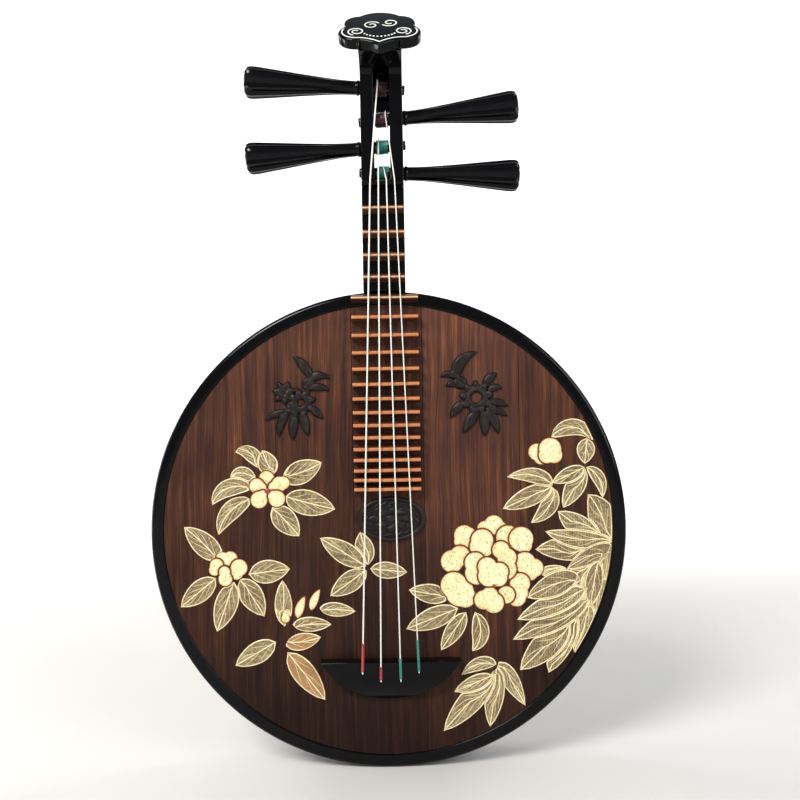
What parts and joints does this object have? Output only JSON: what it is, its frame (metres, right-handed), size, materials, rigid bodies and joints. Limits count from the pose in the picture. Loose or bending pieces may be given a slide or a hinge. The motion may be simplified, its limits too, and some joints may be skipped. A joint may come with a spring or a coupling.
{
  "type": "moon lute",
  "caption": "Round flat-bodied lute with a short fretted neck, side friction pegs, a half-moon bridge and pale floral inlays.",
  "frame": {"origin": "centre of the round back board's outer face", "axes": "+Z along the neck towards the head, -Y out of the front (strings) side, +Y out of the flat back, +X to the right seen from the front"},
  "size_m": [0.36, 0.085, 0.573],
  "materials": {
    "lacquer": "black lacquer over hardwood, glossy with a soft cool sheen",
    "peg_lacquer": "black lacquered hardwood pegs, worn to a satin gloss on the flutes",
    "soundboard_wood": "dark red-brown stained board, straight vertical grain, thin clear finish",
    "back_wood": "dark red-brown stained board, satin",
    "bamboo": "bamboo with a pale skin on the crown, satin",
    "string_silk": "pale silk-nylon strings, smooth",
    "red_silk": "red silk thread, tightly wrapped",
    "teal_silk": "teal silk thread, tightly wrapped",
    "maroon_silk": "dark maroon silk, tightly wound",
    "carved_wood": "dark carved wood, satin, worn on the high places",
    "line_inlay": "pale bone-like line inlay",
    "petal_inlay": "pale cream-yellow shell-like inlay with fine engraved marks",
    "leaf_inlay": "beige-olive inlay with cream edges and veins",
    "plain_wood": "unfinished softwood",
    "spring_wire": "spring steel wire"
  },
  "bodies": {
    "lute": {"side_hoop": "lacquer", "soundboard": "soundboard_wood", "back_plate": "back_wood", "neck": "lacquer", "head_cap": "lacquer", "cap_inlay": "line_inlay", "nut": "lacquer", "bridge": "lacquer", "fret_01": "bamboo", "fret_02": "bamboo", "fret_03": "bamboo", "fret_04": "bamboo", "fret_05": "bamboo", "fret_06": "bamboo", "fret_07": "bamboo", "fret_08": "bamboo", "fret_09": "bamboo", "fret_10": "bamboo", "fret_11": "bamboo", "fret_12": "bamboo", "fret_13": "bamboo", "fret_14": "bamboo", "fret_15": "bamboo", "fret_16": "bamboo", "fret_17": "bamboo", "fret_18": "bamboo", "fret_19": "bamboo", "string_1": "string_silk", "string_2": "string_silk", "string_3": "string_silk", "string_4": "string_silk", "string_wrap_1": "red_silk", "string_wrap_2": "red_silk", "string_wrap_3": "teal_silk", "string_wrap_4": "teal_silk", "medallion": "carved_wood", "carving_left": "carved_wood", "carving_right": "carved_wood", "blossom_upper": "petal_inlay", "blossom_lower": "petal_inlay", "sprig": "leaf_inlay", "leaf_cross": "leaf_inlay", "peony": "petal_inlay", "bud": "petal_inlay", "foliage_right": "leaf_inlay", "leaves_bottom": "leaf_inlay", "soundboard_braces": "plain_wood", "back_brace": "plain_wood", "neck_block": "plain_wood", "tail_block": "plain_wood", "sound_post": "plain_wood", "resonance_wire": "spring_wire"},
    "peg_1": {"peg_1": "peg_lacquer", "winding_1": "maroon_silk"},
    "peg_2": {"peg_2": "peg_lacquer", "winding_2": "maroon_silk"},
    "peg_3": {"peg_3": "peg_lacquer", "winding_3": "teal_silk"},
    "peg_4": {"peg_4": "peg_lacquer", "winding_4": "teal_silk"}
  },
  "joints": [
    {"name": "peg_1_turn", "type": "hinge", "parent": "lute", "child": "peg_1", "pos_m": [0, -0.038, 0.3366], "axis": [-0.9976, 0, 0.0698], "continuous": true},
    {"name": "peg_2_turn", "type": "hinge", "parent": "lute", "child": "peg_2", "pos_m": [0, -0.038, 0.3126], "axis": [0.9962, 0, 0.0872], "continuous": true},
    {"name": "peg_3_turn", "type": "hinge", "parent": "lute", "child": "peg_3", "pos_m": [0, -0.038, 0.292], "axis": [-0.9976, 0, -0.0698], "continuous": true},
    {"name": "peg_4_turn", "type": "hinge", "parent": "lute", "child": "peg_4", "pos_m": [0, -0.038, 0.272], "axis": [0.9994, 0, -0.0349], "continuous": true}
  ]
}
